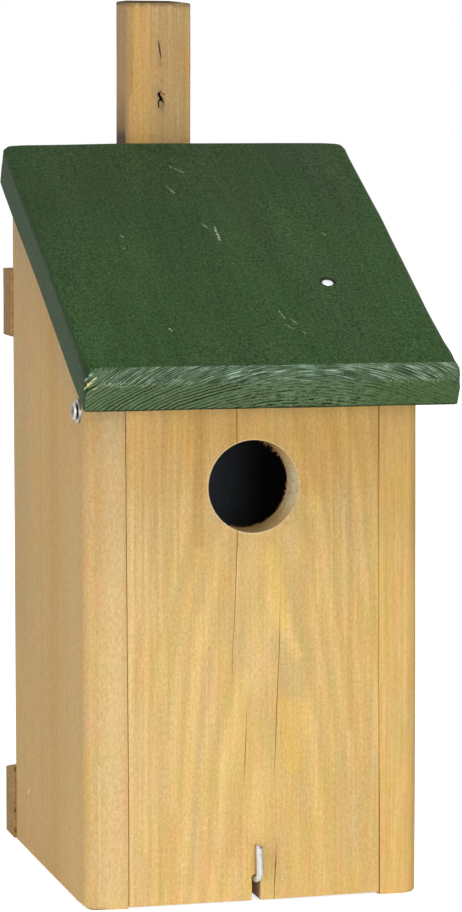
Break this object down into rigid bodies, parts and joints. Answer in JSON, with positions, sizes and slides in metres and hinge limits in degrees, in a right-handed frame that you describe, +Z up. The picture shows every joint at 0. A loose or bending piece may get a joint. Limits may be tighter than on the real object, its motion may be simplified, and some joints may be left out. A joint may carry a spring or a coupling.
{
  "type": "bird nest box",
  "caption": "Wooden bird nest box with a round entrance hole, green sloping roof, swing-out front panel held by a turn hook, and a hanging batten at the back.",
  "frame": {"origin": "centre of the outline at the foot of the box, on the surface it stands on", "axes": "+Z up, +Y to the back batten, the entrance hole faces -Y, +X to the right seen from the front"},
  "size_m": [0.13, 0.184, 0.3135],
  "materials": {
    "pine_front": "planed pine, knot-free, flat-sawn grain with small drying cracks",
    "pine_side": "planed pine, straight grain",
    "pine_rough": "sawn pine, darker",
    "green_paint": "dark green outdoor paint on wood, worn at edges",
    "zinc": "zinc-plated steel",
    "bright_steel": "bright nail head"
  },
  "bodies": {
    "box": {"left_side_board": "pine_side", "right_side_board": "pine_side", "back_board": "pine_rough", "floor_board": "pine_rough", "roof_board": "green_paint", "roof_nail": "bright_steel", "upper_cross_batten": "pine_rough", "lower_cross_batten": "pine_rough", "hanging_batten": "pine_side", "upper_nail_left": "zinc", "upper_nail_right": "zinc", "lower_nail_left": "zinc", "lower_nail_right": "zinc", "upper_batten_screw": "zinc", "lower_batten_screw": "zinc", "washer_left": "zinc"},
    "front_panel": {"front_panel": "pine_front", "pivot_screw_left": "zinc", "pivot_pin_right": "zinc"},
    "latch_hook": {"latch_hook": "zinc"}
  },
  "joints": [
    {"name": "front_pivot", "type": "hinge", "parent": "box", "child": "front_panel", "pos_m": [0, -0.05454, 0.1715], "axis": [-1, 0, 0], "range_deg": [0, 70]},
    {"name": "hook_turn", "type": "hinge", "parent": "box", "child": "latch_hook", "pos_m": [0.001, -0.06404, 0.0083], "axis": [0, -1, 0], "range_deg": [0, 180]}
  ]
}
